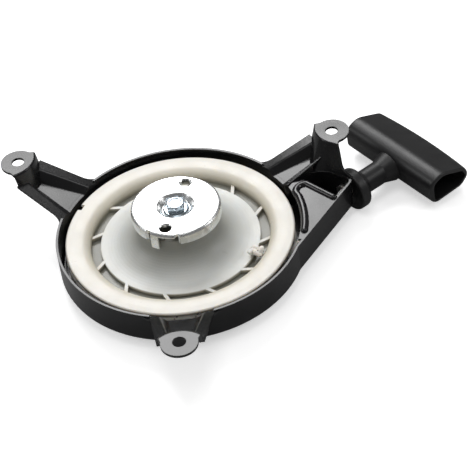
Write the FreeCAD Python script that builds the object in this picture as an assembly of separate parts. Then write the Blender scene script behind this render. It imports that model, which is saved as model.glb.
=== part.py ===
import FreeCAD, Part
import math
import os

# Recoil (rewind) starter for a small vertical-shaft engine.
# Millimetres.  Origin: centre of the three-bolt circle, on the faces of the
# mounting ears that touch the engine.  +Z points to the engine.

os.makedirs("parts", exist_ok=True)
V = FreeCAD.Vector
Z = V(0, 0, 1)

# ---------------------------------------------------------------- dimensions
SHEET = 1.6                 # pressed steel thickness

# pan
PAN_R = 80.7                # outer radius of the pan wall
RIM_Z = -19.0               # open edge of the pan
FLOOR_Z = -41.5             # underside of the pan
PAN_BOTTOM_R = 3.2          # outer bend radius at the floor
DISH_R = 21.0               # raised middle of the floor
DISH_H = 1.6

# ears (bolt circle)
PCD_R = 121.0
EAR_ANGLES = (30.0, 150.0, 270.0)
EAR_T = 1.8
EAR_R = 11.6
EAR_HOLE_R = 4.2
EAR_CORNER = (116.0, 13.2)  # u, v of the inner corners of the ear
EAR_BULGE_U = 111.0         # inner edge of the ear on its centre line

# arms, values at two stations along the arm
ARM_U0, ARM_U1 = 80.7, 108.0
ARM_FLANGE_Z = (-19.0, -9.8)
ARM_FLOOR_Z = (-23.0, -17.0)
ARM_TOP_HALF = (13.6, 7.2)
ARM_FLOOR_HALF = (9.0, 2.6)
ARM_EDGE_RIM = 22.3         # half width of the arm where it leaves the rim
ARM_EDGE_EAR = 14.6         # half width of the arm at the ear
ARM_BLEND_R = 11.0
POST_LEAN = 4.0             # how far the post leans in over POST_DROP
POST_DROP = 18.0

# rope outlet box (direction of the rope, distance of the wall from the axis)
OUT_DIR = 56.0
OUT_OFF = 78.4              # outer face of the straight wall
OUT_END = 91.9              # outer face of the end wall
ROPE_OFF = 70.0
ROPE_Z = -29.0
EYE_OFF = 70.3
EYE_Z = -32.0
EYE_HOLE_R = 3.8

# pulley
RING_R = 75.0
RING_IN_R = 58.6
RING_TOP = -22.1
RING_T = 2.5
GROOVE_R = 60.5
GROOVE_BOTTOM = -33.4
RING_LOW = -35.8
DISC_R = 52.5
DISC_TOP = -27.0
DISC_T = 2.3
NECK_R = 25.4
HUB_TOP = -6.5
BORE_R = 7.06
HUB_R = 11.0
SPRING_WALL_R = (46.2, 48.4)
FIN_COUNT = 12
FIN_FIRST = 19.5
FIN_T = 2.3
WEB_TOP = -30.2            # closed bottom between the disc and the ring
KNOT_ANGLE = -24.0
FEED_Z = -26.6
NOTCH_ANGLE = 152.5

# axle, pawls, friction plate
POST_R = 7.0
PLATE_TOP = 1.6
PLATE_T = 1.5
PLATE_R = 29.2
PLATE_SKIRT = -6.0
PLATE_DIMPLE_R = 12.3
WINDOW_ANGLES = (72.0, -108.0)
PAWL_PIVOT_R = 18.2
PAWL_PIVOT_A = 15.0
PEG_R = 2.5
PAWL_Z = (-6.4, -2.4)
SCREW_HEX_AF = 11.1
SCREW_FLANGE_R = 8.6
SCREW_TOP = 3.9
SEAT_Z = -1.75             # end of the axle, where the screw's flange sits

# rope and handle
ROPE_R = 1.8
PULL_DIR = 37.2
HANDLE_Z = -34.0
HANDLE_OFF = 73.0
HANDLE_START = 93.6
GRIP_AT = 51.0
GRIP_HALF = 42.0
STEM_R = 8.0

D = V(math.cos(math.radians(OUT_DIR)), math.sin(math.radians(OUT_DIR)), 0)
N = V(D.y, -D.x, 0)
H = V(math.cos(math.radians(PULL_DIR)), math.sin(math.radians(PULL_DIR)), 0)
G = V(H.y, -H.x, 0)


# ---------------------------------------------------------------- helpers
def pol(r, a, z=0.0):
    t = math.radians(a)
    return V(r * math.cos(t), r * math.sin(t), z)


def wire(pts):
    return Part.makePolygon(list(pts) + [pts[0]])


def face(pts):
    return Part.Face(wire(pts))


def cyl(r, z0, z1, x=0.0, y=0.0):
    return Part.makeCylinder(r, z1 - z0, V(x, y, z0), Z)


def ring(r_out, r_in, z0, z1):
    return cyl(r_out, z0, z1).cut(cyl(r_in, z0 - 1, z1 + 1))


def revolve(rz):
    """Closed profile of (r, z) points turned round the axis."""
    return face([V(r, 0, z) for r, z in rz]).revolve(V(0, 0, 0), Z, 360)


def tidy(s):
    """Merge split faces when the result stays sound."""
    try:
        t = s.copy().removeSplitter()
        if t.isValid() and abs(t.Volume - s.Volume) < 0.5 + abs(s.Volume) * 1e-4:
            return t
    except Exception:
        pass
    return s


def fuse(shapes):
    s = shapes[0]
    for i, t in enumerate(shapes[1:]):
        try:
            q = s.fuse(t)
        except Exception as err:
            print("  fuse failed at", i + 1, err)
            continue
        if not q.isValid():
            print("  fuse not sound at", i + 1, "tool valid", t.isValid())
        s = q
    return tidy(s)


def turned(shape, angle):
    s = shape.copy()
    s.rotate(V(0, 0, 0), Z, angle)
    return s


def arc3(a, b, c):
    return Part.Arc(a, b, c).toShape()


def round_wire(pts, radii):
    """Closed wire through pts with each corner rounded to its radius."""
    n = len(pts)
    ends = []
    for i in range(n):
        p, a, b = pts[i], pts[i - 1], pts[(i + 1) % n]
        r = radii[i]
        if r <= 0:
            ends.append((p, None, p))
            continue
        u = (a - p).normalize()
        w = (b - p).normalize()
        ang = u.getAngle(w)
        t = r / math.tan(ang / 2)
        bis = (u + w).normalize()
        c = p + bis * (r / math.sin(ang / 2))
        ends.append((p + u * t, c - bis * r, p + w * t))
    edges = []
    for i in range(n):
        a, m, b = ends[i]
        if m is not None:
            edges.append(arc3(a, m, b))
        nxt = ends[(i + 1) % n][0]
        if (nxt - b).Length > 1e-6:
            edges.append(Part.LineSegment(b, nxt).toShape())
    return Part.Wire(edges)


def prism(w, z0, z1):
    f = Part.Face(w)
    f.translate(V(0, 0, z0))
    s = f.extrude(V(0, 0, z1 - z0))
    return s


def arm_pt(angle, u, v, z=0.0):
    t = math.radians(angle)
    return V(u * math.cos(t) - v * math.sin(t), u * math.sin(t) + v * math.cos(t), z)


def out_pt(s, off, z=0.0):
    p = D * s + N * off
    return V(p.x, p.y, z)


def export(name, shape):
    s = tidy(shape)
    sol = s.Solids
    if len(sol) == 1:
        s = sol[0]
    else:
        s = Part.makeCompound(sol)
    print("%-22s solids %d valid %s volume %.1f" % (name, len(sol), s.isValid(), s.Volume))
    s.exportStep("parts/%s.step" % name)
    return s


# ---------------------------------------------------------------- housing
def lerp(pair, u):
    t = (u - ARM_U0) / (ARM_U1 - ARM_U0)
    return pair[0] + (pair[1] - pair[0]) * t


def hat_values(u, shift=0.0):
    return (lerp(ARM_FLANGE_Z, u), lerp(ARM_FLOOR_Z, u), lerp(ARM_TOP_HALF, u),
            lerp(ARM_FLOOR_HALF, u))


def hat_section(angle, u, near=None, kind="sheet", wide=40.0):
    """Section of the arm across its length at distance u: two flanges with a
    trough between them.  near = (top, floor) offsets of the trough's near side
    when the trough is not centred."""
    zf, zt, a, b = hat_values(u)
    a2, b2 = (a, b) if near is None else near(u)
    r = 0.9
    phi1 = math.atan2(zf - zt, a - b)
    phi2 = math.atan2(zf - zt, a2 - b2)
    e1 = SHEET * math.tan(phi1 / 2)
    e2 = SHEET * math.tan(phi2 / 2)
    top = [(-wide, zf), (-a2, zf), (-b2, zt), (b, zt), (a, zf), (wide, zf)]
    low = [(wide, zf - SHEET), (a + e1, zf - SHEET), (b + e1, zt - SHEET),
           (-b2 - e2, zt - SHEET), (-a2 - e2, zf - SHEET), (-wide, zf - SHEET)]
    rt = [0, r + SHEET, r, r, r + SHEET, 0]
    rl = [0, r, r + SHEET, r + SHEET, r, 0]
    if kind == "sheet":
        pts, rad = top + low, rt + rl
    elif kind == "above":
        pts, rad = top + [(wide, 12.0), (-wide, 12.0)], rt + [0, 0]
    else:
        pts, rad = low + [(-wide, -60.0), (wide, -60.0)], rl + [0, 0]
    return round_wire([arm_pt(angle, u, v, z) for v, z in pts], rad)


def hat(angle, u0, u1, near=None, kind="sheet", wide=40.0):
    return Part.makeLoft([hat_section(angle, u0, near, kind, wide),
                          hat_section(angle, u1, near, kind, wide)], True, True)


def arm_outline(angle, left=True, right=True):
    """Plan of an arm with the concave blends into the rim."""
    out = []
    for sgn in (1, -1):
        # straight edge from (u0, v0) to (u1, v1); blend circle touches the rim circle
        u0, v0, u1, v1 = ARM_U0, ARM_EDGE_RIM - 2.6, 114.0, ARM_EDGE_EAR
        dx, dy = u1 - u0, v1 - v0
        ln = math.hypot(dx, dy)
        nx, ny = -dy / ln, dx / ln
        # centre lies ARM_BLEND_R outside the edge line and PAN_R + R from the axis
        best = None
        for k in range(0, 4000):
            t = -20 + k * 0.01
            cx = u0 + dx / ln * t + nx * ARM_BLEND_R
            cy = v0 + dy / ln * t + ny * ARM_BLEND_R
            e = abs(math.hypot(cx, cy) - (PAN_R + ARM_BLEND_R))
            if best is None or e < best[0]:
                best = (e, t, cx, cy)
        _, t, cx, cy = best
        foot = (u0 + dx / ln * t, v0 + dy / ln * t)
        rim = (cx * PAN_R / math.hypot(cx, cy), cy * PAN_R / math.hypot(cx, cy))
        mx, my = (foot[0] + rim[0]) / 2 - cx, (foot[1] + rim[1]) / 2 - cy
        ml = math.hypot(mx, my)
        mid = (cx + mx / ml * ARM_BLEND_R, cy + my / ml * ARM_BLEND_R)
        out.append([(rim[0] - 4.0, rim[1] * (PAN_R - 4.0) / PAN_R), rim, mid, foot, (u1, v1)])
    p = [arm_pt(angle, a, b) for a, b in out[0]]
    q = [arm_pt(angle, a, -b) for a, b in out[1]]
    edges = [Part.LineSegment(p[0], p[1]).toShape(), arc3(p[1], p[2], p[3]),
             Part.LineSegment(p[3], p[4]).toShape(),
             Part.LineSegment(p[4], q[4]).toShape(),
             Part.LineSegment(q[4], q[3]).toShape(), arc3(q[3], q[2], q[1]),
             Part.LineSegment(q[1], q[0]).toShape(),
             Part.LineSegment(q[0], p[0]).toShape()]
    return Part.Wire(edges)


def ear_arc(shift=0.0, grow=0.0):
    """Circle (in u, v) of the ear's inner edge: centre u, radius, half angle."""
    cu, cv = EAR_CORNER
    s = cu - EAR_BULGE_U
    r = (cv * cv + s * s) / (2 * s)
    return EAR_BULGE_U + r + shift, r + grow, math.asin(cv / r)


def post_sheet(angle, lean=POST_LEAN, drop=POST_DROP):
    """Post under the ear: a leaning half tube, convex to the pan."""
    c0, r, h = ear_arc()
    rings = []
    for z, sh in ((0.0, 0.0), (-drop, -lean)):
        row = []
        for rr in (r, r - EAR_T):
            row.append([arm_pt(angle, c0 + sh - rr * math.cos(t), rr * math.sin(t), z)
                        for t in (-h, 0.0, h)])
        a, b = row
        rings.append(Part.Wire([arc3(*a), Part.LineSegment(a[2], b[2]).toShape(),
                                arc3(b[2], b[1], b[0]),
                                Part.LineSegment(b[0], a[0]).toShape()]))
    return Part.makeLoft(rings, True, True)


def behind_post(angle, lean=POST_LEAN, drop=POST_DROP):
    c0, r, h = ear_arc()
    rr = r - EAR_T * 0.5
    rings = []
    for z, sh in ((8.0, 8.0 / drop * lean), (-drop - 8.0, -lean * (drop + 8.0) / drop)):
        a = [arm_pt(angle, c0 + sh - rr * math.cos(t), rr * math.sin(t), z) for t in (-1.2, 0.0, 1.2)]
        far = [arm_pt(angle, c0 + 30, 30, z), arm_pt(angle, c0 + 30, -30, z)]
        rings.append(Part.Wire([arc3(*a), Part.LineSegment(a[2], far[0]).toShape(),
                                Part.LineSegment(far[0], far[1]).toShape(),
                                Part.LineSegment(far[1], a[0]).toShape()]))
    return Part.makeLoft(rings, True, True)


def ear_plate(angle):
    c0, r, h = ear_arc()
    cu, cv = EAR_CORNER
    t0 = 98.0
    e = (PCD_R + EAR_R * math.cos(math.radians(t0)), EAR_R * math.sin(math.radians(t0)))
    m = (cu + 1.9, cv - 1.0)
    pts = {}
    A = arm_pt(angle, cu, -cv)
    B = arm_pt(angle, EAR_BULGE_U, 0)
    C = arm_pt(angle, cu, cv)
    E1 = arm_pt(angle, e[0], e[1])
    E2 = arm_pt(angle, e[0], -e[1])
    F = arm_pt(angle, PCD_R + EAR_R, 0)
    M1 = arm_pt(angle, *m)
    M2 = arm_pt(angle, m[0], -m[1])
    w = Part.Wire([arc3(A, B, C), arc3(C, M1, E1), arc3(E1, F, E2), arc3(E2, M2, A)])
    return prism(w, -EAR_T, 0.0)


def ear_and_post(angle, post):
    s = tidy(ear_plate(angle).fuse(post))
    # bend radius between the ear and its post
    c0, r, h = ear_arc()
    top = arm_pt(angle, EAR_BULGE_U, 0, 0)
    pick = []
    for e in s.Edges:
        if e.BoundBox.ZMin > -1e-3 and e.distToShape(Part.Vertex(top))[0] < 1e-3:
            pick.append(e)
    for r in (1.5, 1.0, 0.6):
        try:
            f = s.makeFillet(r, pick)
            if f.isValid() and f.Volume > 0:
                s = f
                break
        except Exception as err:
            print("ear fillet", angle, r, len(pick), err)
    return s.cut(cyl(EAR_HOLE_R, -20, 20, arm_pt(angle, PCD_R, 0).x, arm_pt(angle, PCD_R, 0).y))


# -- plan of the pan with the rope outlet box (inside faces of the walls)
R_IN = PAN_R - SHEET
OFF_IN = OUT_OFF - SHEET
END_IN = OUT_END - SHEET
ANG30 = 30.0
BACK_V = -8.0                      # inside face of the outlet's back wall, arm coordinates


def pan_plan(grow):
    """Inside outline grown outward by `grow`."""
    r = R_IN + grow
    off = OFF_IN + grow
    end = END_IN + grow
    bv = BACK_V + grow
    s0 = math.sqrt(r * r - off * off)
    k = out_pt(s0, off)                                  # kink, straight wall leaves the circle
    c = out_pt(end, off)                                 # outer corner of the box
    ub = math.sqrt(r * r - bv * bv)
    b0 = arm_pt(ANG30, ub, bv)                           # back wall leaves the circle
    # gently hollow face under the ear: from the back wall to the end wall
    p1 = V(88.2, 41.7, 0) + V(-0.3, 1.0, 0) * grow * 0.9
    # put p1 on the back wall line
    u1 = p1.x * math.cos(math.radians(30)) + p1.y * math.sin(math.radians(30))
    p1 = arm_pt(ANG30, u1, bv)
    p2 = V(96.6, 41.9, 0) + D * grow * 0.9
    p3 = out_pt(end, 63.5)
    p2 = V(p2.x, p2.y, 0)
    mid_a = math.radians(180.0 + 5.0)
    arc_mid = V(r * math.cos(mid_a), r * math.sin(mid_a), 0)
    a_end = math.degrees(math.atan2(k.y, k.x))
    # corner fillet between straight wall and end wall
    rc = 3.6 + grow
    ca = c - D * rc
    cb = c - N * rc
    cm = c - (D + N) * rc + (D + N).normalize() * rc
    edges = [arc3(b0, arc_mid, k),
             Part.LineSegment(k, ca).toShape(),
             arc3(ca, cm, cb),
             Part.LineSegment(cb, p3).toShape(),
             arc3(p3, p2, p1),
             Part.LineSegment(p1, b0).toShape()]
    return Part.Wire(edges)


def soften(w_solid, z0, z1, jobs):
    """Fillet the vertical edges nearest to the given plan points."""
    for (x, y), r in jobs:
        best = None
        for e in w_solid.Edges:
            bb = e.BoundBox
            if bb.ZLength < (z1 - z0) * 0.9 or bb.XLength > 0.5 or bb.YLength > 0.5:
                continue
            dd = math.hypot(bb.Center.x - x, bb.Center.y - y)
            if best is None or dd < best[0]:
                best = (dd, e)
        if best is None or best[0] > 6:
            print("no edge near", x, y)
            continue
        try:
            f = w_solid.makeFillet(r, [best[1]])
            if f.isValid():
                w_solid = f
            else:
                print("fillet invalid near", x, y)
        except Exception as err:
            print("fillet failed near", x, y, err)
    return w_solid


def bottom_fillet(s, z, r):
    pick = [e for e in s.Edges if abs(e.BoundBox.ZMin - z) < 1e-3 and abs(e.BoundBox.ZMax - z) < 1e-3]
    try:
        f = s.makeFillet(r, pick)
        if f.isValid():
            return f
        print("bottom fillet invalid")
    except Exception as err:
        print("bottom fillet failed", err)
    return s


kin = out_pt(math.sqrt(R_IN ** 2 - OFF_IN ** 2), OFF_IN)
kout = out_pt(math.sqrt(PAN_R ** 2 - OUT_OFF ** 2), OUT_OFF)
bin_ = arm_pt(ANG30, math.sqrt(R_IN ** 2 - BACK_V ** 2), BACK_V)
bout = arm_pt(ANG30, math.sqrt(PAN_R ** 2 - (BACK_V + SHEET) ** 2), BACK_V + SHEET)

outer = prism(pan_plan(SHEET), FLOOR_Z, RIM_Z)
outer = soften(outer, FLOOR_Z, RIM_Z, [((kout.x, kout.y), 9.0), ((bout.x, bout.y), 3.0)])
outer = bottom_fillet(outer, FLOOR_Z, PAN_BOTTOM_R)
inner = prism(pan_plan(0.0), FLOOR_Z + SHEET, RIM_Z + 1.0)
inner = soften(inner, FLOOR_Z + SHEET, RIM_Z + 1.0, [((kin.x, kin.y), 10.6), ((bin_.x, bin_.y), 4.6),
                                                     ((88.2, 41.7), 2.4)])
inner = bottom_fillet(inner, FLOOR_Z + SHEET, PAN_BOTTOM_R - SHEET)
pan = outer.cut(inner)

# raised middle of the floor, so that the riveted end of the axle stays clear of the bench
dish_up = Part.makeCone(DISH_R + 1.6, DISH_R, DISH_H, V(0, 0, FLOOR_Z + SHEET), Z)
dish_cut = Part.makeCone(DISH_R + 0.6, DISH_R - 1.0, DISH_H, V(0, 0, FLOOR_Z), Z)
pan = pan.fuse(dish_up).cut(dish_cut)
# pressed stiffening ring in the floor
bead = Part.makeTorus(58.0, 2.6, V(0, 0, FLOOR_Z - 1.2), Z).common(ring(64, 52, FLOOR_Z - 0.001, FLOOR_Z + 3))
bead_top = Part.makeTorus(58.0, 4.2, V(0, 0, FLOOR_Z - 1.2), Z).common(
    ring(64, 52, FLOOR_Z + SHEET - 0.2, FLOOR_Z + 5))
pan = pan.fuse(bead_top).cut(bead)

# -- arms at 150 and 270 degrees
pieces = [pan]
cutters = []
for ang in (150.0, 270.0):
    sheet = hat(ang, 72.0, 118.0)
    sheet = sheet.common(prism(arm_outline(ang), -40, 5))
    sheet = sheet.cut(cyl(R_IN, -60, 20))
    sheet = sheet.cut(behind_post(ang))
    under = hat(ang, 72.0, 125.0, kind="below", wide=60.0)
    under.translate(V(0, 0, 0.7))
    post = post_sheet(ang).cut(under)
    pieces.append(sheet)
    pieces.append(ear_and_post(ang, post))
    mouth = hat(ang, 72.0, 82.0, kind="above", wide=20.0)
    keep = hat(ang, 72.0, 82.0, kind="sheet", wide=40.0)
    cutters.append(mouth.common(ring(PAN_R + 0.6, 70, -30, RIM_Z + 1)))


# -- arm at 30 degrees: its near side is the back wall of the outlet box
def near30(u):
    t = (u - ARM_U0) / (ARM_U1 - ARM_U0)
    return (6.3, 1.6 - 1.0 * t)


def v_curve(z):
    """Visible face of the 30 degree post at height z, left to right, in plan."""
    c0, r, h = ear_arc()
    top = [arm_pt(ANG30, c0 - r * math.cos(t), r * math.sin(t)) for t in
           (h, h * 0.66, h * 0.33, 0.0, -h * 0.33, -h * 0.66, -h)]
    top.append(top[-1] + V(6.0, -5.2, 0))
    top.append(top[-1] + V(6.0, -5.2, 0))
    bot = [V(88.6, 65.0, 0), V(88.1, 57.0, 0), V(88.0, 50.0, 0), V(89.0, 44.9, 0), V(93.0, 42.6, 0),
           V(98.2, 41.6, 0), V(103.2, 38.9, 0), out_pt(END_IN, 69.0), out_pt(END_IN, 77.4)]
    t = -z / 20.0
    return [a + (b - a) * t for a, b in zip(top, bot)]


def offset_plan(pts, dist):
    out = []
    for i, p in enumerate(pts):
        a = pts[max(i - 1, 0)]
        b = pts[min(i + 1, len(pts) - 1)]
        t = (b - a).normalize()
        out.append(p + V(-t.y, t.x, 0) * dist)
    return out


def spline(pts, z):
    s = Part.BSplineCurve()
    s.interpolate([V(p.x, p.y, z) for p in pts])
    return s.toShape()


def front_edges(z, t, back=False):
    """Edges of the 30 degree post's face at height z, offset by t."""
    pts = offset_plan(v_curve(z), t)
    c0, r, h = ear_arc()
    if abs(z) < 1e-9:
        a = [arm_pt(ANG30, c0 - (r - t) * math.cos(k), (r - t) * math.sin(k), 0) for k in (h, 0.0, -h)]
        e1 = arc3(a[0], a[1], a[2])
        e2 = Part.LineSegment(a[2], V(pts[8].x, pts[8].y, 0)).toShape()
        return [e1, e2], a[0], V(pts[8].x, pts[8].y, 0)
    e1 = spline(pts[:7], z)
    e2 = Part.LineSegment(V(pts[6].x, pts[6].y, z), V(pts[8].x, pts[8].y, z)).toShape()
    return [e1, e2], V(pts[0].x, pts[0].y, z), V(pts[8].x, pts[8].y, z)


def post30(z0, z1, t):
    rings = []
    for z in (z0, z1):
        fe, fa, fb = front_edges(z, 0.0)
        be, ba, bb = front_edges(z, t)
        rings.append(Part.Wire(fe + [Part.LineSegment(fb, bb).toShape()] + list(reversed(be)) +
                               [Part.LineSegment(ba, fa).toShape()]))
    return Part.makeLoft(rings, True, True)


def behind30(z0, z1, t):
    rings = []
    for z in (z0, z1):
        pts = offset_plan(v_curve(z), t)
        a = pts[0]
        b = pts[-1]
        far = [b + V(25, 4, 0), V(160, 110, 0), a + V(14, 40, 0), a + V(0, 16, 0)]
        row = [b] + far + [a]
        seg = [Part.LineSegment(V(p.x, p.y, z), V(q.x, q.y, z)).toShape() for p, q in zip(row[:-1], row[1:])]
        rings.append(Part.Wire([spline(pts, z)] + seg))
    return Part.makeLoft(rings, True, True)


sheet30 = hat(ANG30, 72.0, 112.5, near=near30)
sheet30 = sheet30.common(prism(arm_outline(ANG30), -40, 5))
# the sheet ends at the outlet's back wall
half_plane = prism(wire([arm_pt(ANG30, 60, BACK_V + 0.2), arm_pt(ANG30, 130, BACK_V + 0.2),
                         arm_pt(ANG30, 130, 60), arm_pt(ANG30, 60, 60)]), -60, 20)
sheet30 = sheet30.common(half_plane)
sheet30 = sheet30.cut(cyl(R_IN, -60, 20))
sheet30 = sheet30.cut(behind30(4.0, -26.0, 0.6))
post = post30(0.0, -20.0, SHEET)
# free edge: the post's right side sweeps down to the outlet's end wall
edge = [out_pt(70, 62.6, 3.0), out_pt(70, 63.4, 0.0), out_pt(70, 65.6, -5.0), out_pt(70, 67.6, -10.0),
        out_pt(70, 69.6, -14.2), out_pt(70, 73.4, -16.9), out_pt(70, 79.5, -19.0), out_pt(70, 90.0, -19.0),
        out_pt(70, 90.0, 3.0)]
sp = Part.BSplineCurve()
sp.interpolate(edge[:7])
edge_wire = Part.Wire([sp.toShape(), Part.LineSegment(edge[6], edge[7]).toShape(),
                       Part.LineSegment(edge[7], edge[8]).toShape(), Part.LineSegment(edge[8], edge[0]).toShape()])
free_edge = Part.Face(edge_wire).extrude(D * 60)
post = post.cut(free_edge)
# underside of the post over the arm follows the trough
under30 = hat(ANG30, 72.0, 113.5, near=near30, kind="below", wide=60.0).common(half_plane)
under30.translate(V(0, 0, 0.7))
strip = prism(wire([V(80, 47.6, 0), V(94.5, 47.6, 0), V(112, 60, 0), V(112, 80, 0), V(80, 80, 0)]), -60, 20)
post = post.cut(under30.common(strip))
# back wall of the outlet above the rim, up to the arm's flange
u_a, u_b = 79.2, 99.6
wedge = face([V(u_a, BACK_V, RIM_Z - 3.0), V(u_b, BACK_V, RIM_Z - 3.0), V(u_b, BACK_V, lerp(ARM_FLANGE_Z, u_b)),
              V(u_a, BACK_V, lerp(ARM_FLANGE_Z, u_a))]).extrude(V(0, SHEET, 0))
if wedge.Volume < 0 or not wedge.isValid():
    wedge.reverse()
wedge.rotate(V(0, 0, 0), Z, ANG30)
wedge = wedge.cut(behind30(4.0, -26.0, 0.6))
pieces += [sheet30, ear_and_post(ANG30, post), wedge]
mouth30 = hat(ANG30, 72.0, 82.0, near=near30, kind="above", wide=20.0).common(
    ring(PAN_R + 0.6, 70, -30, RIM_Z + 1)).common(half_plane)
cutters.append(mouth30)

housing = fuse(pieces)
for c in cutters:
    c.translate(V(0, 0, -0.05))
    housing = housing.cut(c)

# -- tab folded in over the rope channel, stiffened by a bead along its free edges
TAB_IN = 78.9
ta = -15.5
tb = 22.5
w0 = out_pt(math.sqrt(TAB_IN ** 2 - 0) * 0.0 + 27.0, OUT_OFF)
tab_pts = [out_pt(27.0, OUT_OFF - 0.2), out_pt(68.6, OUT_OFF - 0.2), V(83.0, 36.3, 0)]
start = pol(TAB_IN, ta)
stop = pol(TAB_IN, tb)
tab_wire = Part.Wire([Part.LineSegment(start, tab_pts[0]).toShape(),
                      Part.LineSegment(tab_pts[0], tab_pts[1]).toShape(),
                      Part.LineSegment(tab_pts[1], tab_pts[2]).toShape(),
                      Part.LineSegment(tab_pts[2], V(78.2, 37.2, 0)).toShape(),
                      Part.LineSegment(V(78.2, 37.2, 0), stop).toShape(),
                      arc3(stop, pol(TAB_IN, (ta + tb) / 2), start)])
tab = prism(tab_wire, RIM_Z - SHEET, RIM_Z)
tab = soften(tab, RIM_Z - SHEET, RIM_Z, [((83.0, 36.3), 5.0)])
BEAD_R = 2.5
BEAD_Z = RIM_Z - 0.4
bc = [pol(81.6, -9.5, BEAD_Z), pol(81.6, 2.0, BEAD_Z), pol(81.6, 14.5, BEAD_Z)]
corner_in = V(78.9, 32.2, BEAD_Z)
end_pt = V(101.4, 15.6, BEAD_Z)
b2 = V(84.9, 31.4, BEAD_Z)
path = Part.Wire([arc3(*bc), arc3(bc[2], V(80.3, 30.2, BEAD_Z), b2), Part.LineSegment(b2, end_pt).toShape()])


def tube_along(path_wire, r, start_pt, start_dir):
    c = Part.Wire([Part.makeCircle(r, start_pt, start_dir)])
    try:
        s = path_wire.makePipeShell([c], True, False, 2)
        if s.isValid() and s.Volume > 0:
            return s
    except Exception as err:
        print("pipe", err)
    return path_wire.makePipe(c)


tan0 = V(-bc[0].y, bc[0].x, 0).normalize()
ridge = tube_along(path, BEAD_R, bc[0], tan0)
ridge = ridge.fuse([Part.makeSphere(BEAD_R, bc[0]), Part.makeSphere(BEAD_R, end_pt)])
ridge = ridge.common(Part.makeBox(60, 90, 10, V(60, -40, RIM_Z - SHEET)))
hollow = tube_along(path, BEAD_R - 1.3, V(bc[0].x, bc[0].y, bc[0].z), tan0)
hollow.translate(V(0, 0, -0.8))
tab = tab.fuse(ridge).cut(hollow)
housing = tidy(housing.fuse(tab))

# -- rope hole in the end wall, hook window and anchor tab for the spring
eye_c = out_pt(OUT_END - SHEET / 2, EYE_OFF, EYE_Z)
housing = housing.cut(Part.makeCylinder(EYE_HOLE_R, 8, eye_c - D * 4, D))
FLOOR_IN = FLOOR_Z + SHEET
DISH_IN = FLOOR_IN + DISH_H
DISH_UNDER = FLOOR_Z + DISH_H
hook_tab = Part.makeBox(1.6, 8.0, 7.2, V(13.4, -4.0, DISH_IN - 0.6))
hook_win = Part.makeBox(6.4, 8.2, 8.0, V(15.0, -4.1, DISH_UNDER - 2.0))
housing = housing.cut(hook_win).fuse(hook_tab)
housing = tidy(housing.cut(cyl(5.5, -50, -30)))
export("housing", housing)

# ---------------------------------------------------------------- axle and centre screw
axle = revolve([(3.05, DISH_IN + 6.0), (3.05, SEAT_Z), (4.8, SEAT_Z), (4.8, SEAT_Z - 2.2), (POST_R, SEAT_Z - 2.2),
                (POST_R, DISH_IN + 2.4), (10.5, DISH_IN + 2.4), (11.0, DISH_IN + 1.9), (11.0, DISH_IN),
                (5.5, DISH_IN), (5.5, DISH_UNDER), (7.4, DISH_UNDER), (6.6, DISH_UNDER - 1.2),
                (0.0, DISH_UNDER - 1.2), (0.0, DISH_IN + 4.4)])
export("pivot_post", axle)

shank = revolve([(0, -19.5), (2.4, -19.5), (3.0, -18.9), (3.0, SEAT_Z), (SCREW_FLANGE_R - 0.4, SEAT_Z),
                 (SCREW_FLANGE_R, SEAT_Z + 0.3), (SCREW_FLANGE_R, SEAT_Z + 0.5), (7.3, SEAT_Z + 0.95),
                 (6.6, SEAT_Z + 1.05), (0, SEAT_Z + 1.05)])
hexr = SCREW_HEX_AF / math.sqrt(3)
hexa = 33.0
head = face([pol(hexr, hexa + 60 * i, SEAT_Z + 0.8) for i in range(6)]).extrude(V(0, 0, SCREW_TOP - SEAT_Z - 0.8))
crown = revolve([(0, SEAT_Z + 0.7), (hexr + 0.01, SEAT_Z + 0.7), (hexr + 0.01, SCREW_TOP - 0.95),
                 (SCREW_HEX_AF / 2 - 0.3, SCREW_TOP - 0.1), (SCREW_HEX_AF / 2 - 0.6, SCREW_TOP), (0, SCREW_TOP)])
head = head.common(crown)
dimple = Part.makeCone(3.7, 4.3, 0.46, V(0, 0, SCREW_TOP - 0.45), Z)
export("center_screw", fuse([shank, head]).cut(dimple))

# ---------------------------------------------------------------- friction plate
c = 2.0
plate = revolve([
    (4.9, SEAT_Z - 0.05 - PLATE_T), (4.9, SEAT_Z - 0.05), (8.9, SEAT_Z - 0.05), (9.5, SEAT_Z + 0.2),
    (10.0, SEAT_Z + 0.8), (11.5, PLATE_TOP - 0.7), (11.9, PLATE_TOP - 0.25), (PLATE_DIMPLE_R + 0.2, PLATE_TOP),
    (PLATE_R - 1.8, PLATE_TOP), (PLATE_R - 0.8, PLATE_TOP - 0.28), (PLATE_R - 0.2, PLATE_TOP - 0.95),
    (PLATE_R, PLATE_TOP - 1.9), (PLATE_R, PLATE_SKIRT), (PLATE_R - PLATE_T, PLATE_SKIRT),
    (PLATE_R - PLATE_T, PLATE_TOP - 2.3), (PLATE_R - 2.1, PLATE_TOP - PLATE_T - 0.2), (PLATE_R - 2.6, PLATE_TOP - PLATE_T),
    (13.6, PLATE_TOP - PLATE_T), (13.0, PLATE_TOP - PLATE_T - 0.2), (12.5, -0.5), (11.1, -2.2), (10.4, -2.95),
    (9.5, SEAT_Z - 0.05 - PLATE_T)])


def sector(r0, r1, a0, a1, z0, z1, step=4.0):
    n = max(2, int(abs(a1 - a0) / step) + 1)
    out = [pol(r1, a0 + (a1 - a0) * i / n) for i in range(n + 1)]
    inn = [pol(r0, a0 + (a1 - a0) * i / n) for i in range(n + 1)]
    return prism(wire(out + list(reversed(inn))), z0, z1)


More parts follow.
